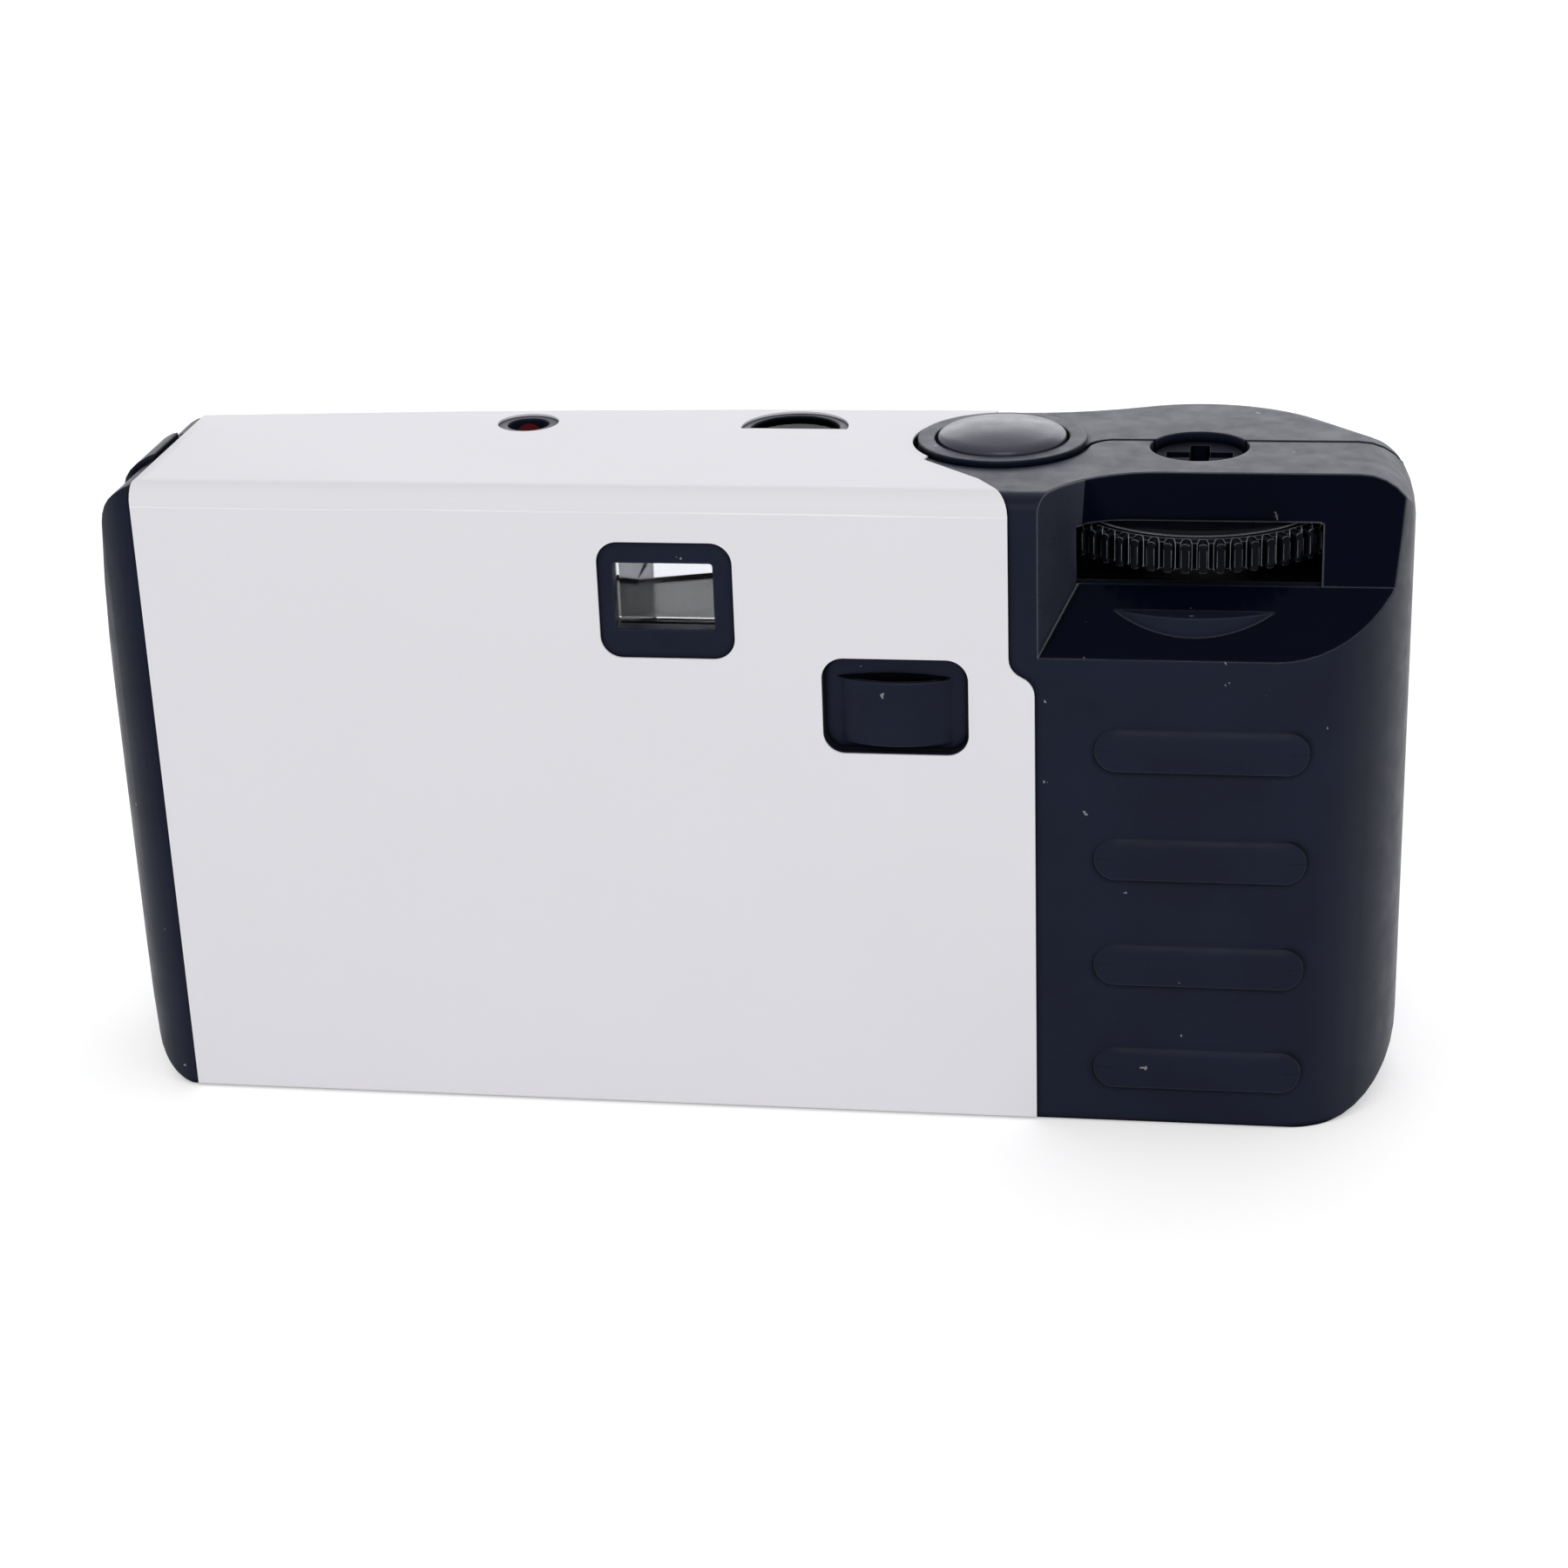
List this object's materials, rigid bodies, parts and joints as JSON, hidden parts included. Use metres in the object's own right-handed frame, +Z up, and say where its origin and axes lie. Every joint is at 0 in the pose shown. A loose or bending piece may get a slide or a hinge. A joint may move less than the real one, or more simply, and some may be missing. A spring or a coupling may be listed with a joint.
{
  "type": "disposable film camera",
  "caption": "Disposable film camera with a wrapped label, ribbed grip, thumbwheel in a thumb pocket, domed shutter button, viewfinder, lens and built-in flash.",
  "frame": {"origin": "middle of the bounding box at the base", "axes": "+X along the width towards the grip, +Y from the back to the lens, +Z up from the base"},
  "size_m": [0.1204, 0.0336, 0.0631],
  "materials": {
    "shell_black": "fine satin moulded black, slightly blue",
    "chassis_black": "dull moulded black",
    "label_white": "satin white printed film",
    "clear_plastic": "clear moulded plastic",
    "clear_glass": "clear glass tube",
    "spring_steel": "bright sheet and wire",
    "button_black": "smooth black",
    "wheel_black": "moulded black",
    "cartridge_green": "printed sheet",
    "film_base": "brown film base",
    "white_plastic": "moulded white",
    "reflector_bright": "bright foil",
    "board_green": "lacquered board",
    "sleeve_black": "shrink sleeve",
    "winding_copper": "enamelled copper wire",
    "lamp_red": "dark red lamp",
    "contact_brass": "plated strip",
    "battery_can": "plain wrapped can"
  },
  "bodies": {
    "camera": {"rear_cover": "shell_black", "front_cover": "shell_black", "main_body": "chassis_black", "wrap_label": "label_white", "lens_bezel": "shell_black", "taking_lens": "clear_plastic", "aperture_plate": "chassis_black", "shutter_spring": "spring_steel", "striker_spring": "spring_steel", "button_spring": "spring_steel", "cartridge_shell": "cartridge_green", "cartridge_end_caps": "spring_steel", "film_strip": "film_base", "counter_window": "clear_plastic", "viewfinder_tunnel": "chassis_black", "viewfinder_eyepiece": "clear_plastic", "viewfinder_objective": "clear_plastic", "flash_window": "clear_plastic", "flash_reflector": "reflector_bright", "flash_tube": "clear_glass", "circuit_board": "board_green", "flash_capacitor": "sleeve_black", "transformer": "winding_copper", "trigger_coil": "winding_copper", "ready_lamp": "lamp_red", "switch_leaf": "contact_brass", "sync_contact": "contact_brass", "battery": "battery_can", "battery_contact_plus": "contact_brass", "battery_contact_minus": "contact_brass"},
    "release_button": {"shutter_button": "button_black"},
    "winder": {"thumbwheel": "wheel_black", "cartridge_spool": "chassis_black"},
    "sprocket": {"sprocket_shaft": "white_plastic"},
    "counter": {"counter_dial": "white_plastic"},
    "supply": {"supply_spool": "chassis_black", "film_roll": "film_base"},
    "blade": {"shutter_blade": "spring_steel"},
    "striker": {"striker_lever": "spring_steel"},
    "rocker": {"release_lever": "chassis_black"},
    "flash_switch": {"flash_button": "button_black"},
    "pawl": {"ratchet_pawl": "spring_steel"}
  },
  "joints": [
    {"name": "shutter_press", "type": "slide", "parent": "camera", "child": "release_button", "axis": [0, 0, -1], "range_m": [0, 0.0016], "stiffness_N_per_m": 400, "deforming": ["button_spring"]},
    {"name": "wheel_spin", "type": "hinge", "parent": "camera", "child": "winder", "pos_m": [0.04095, -0.001, 0.0551], "axis": [0, 0, 1], "continuous": true},
    {"name": "sprocket_spin", "type": "hinge", "parent": "camera", "child": "sprocket", "pos_m": [0.019, -0.0069, 0.045], "axis": [0, 0, 1], "continuous": true},
    {"name": "counter_spin", "type": "hinge", "parent": "camera", "child": "counter", "pos_m": [0.00915, 0.0006, 0.056], "axis": [0, 0, 1], "continuous": true},
    {"name": "supply_spin", "type": "hinge", "parent": "camera", "child": "supply", "pos_m": [-0.03725, -0.0047, 0.02555], "axis": [0, 0, 1], "continuous": true},
    {"name": "blade_swing", "type": "hinge", "parent": "camera", "child": "blade", "pos_m": [0.0095, 0.0069, 0.0317], "axis": [0, -1, 0], "range_deg": [0, 30], "stiffness_Nm_per_rad": 0.002},
    {"name": "striker_swing", "type": "hinge", "parent": "camera", "child": "striker", "pos_m": [0.01825, -0.001, 0.0471], "axis": [0, 0, 1], "range_deg": [0, 15], "stiffness_Nm_per_rad": 0.01},
    {"name": "rocker_tilt", "type": "hinge", "parent": "camera", "child": "rocker", "pos_m": [0.01475, -0.001, 0.0516], "axis": [0, 1, 0], "range_deg": [0, 12]},
    {"name": "flash_press", "type": "slide", "parent": "camera", "child": "flash_switch", "axis": [0, -1, 0], "range_m": [0, 0.001], "stiffness_N_per_m": 500},
    {"name": "pawl_swing", "type": "hinge", "parent": "camera", "child": "pawl", "pos_m": [0.02425, 0.0042, 0.0556], "axis": [0, 0, 1], "range_deg": [0, 10], "stiffness_Nm_per_rad": 0.004}
  ],
  "couplings": [
    {"joint": "sprocket_spin", "follows": "wheel_spin", "ratio": 1.393},
    {"joint": "counter_spin", "follows": "wheel_spin", "ratio": -0.0464},
    {"joint": "supply_spin", "follows": "wheel_spin", "ratio": 1.024},
    {"joint": "rocker_tilt", "follows": "shutter_press", "rad_per_m": 119.7}
  ]
}
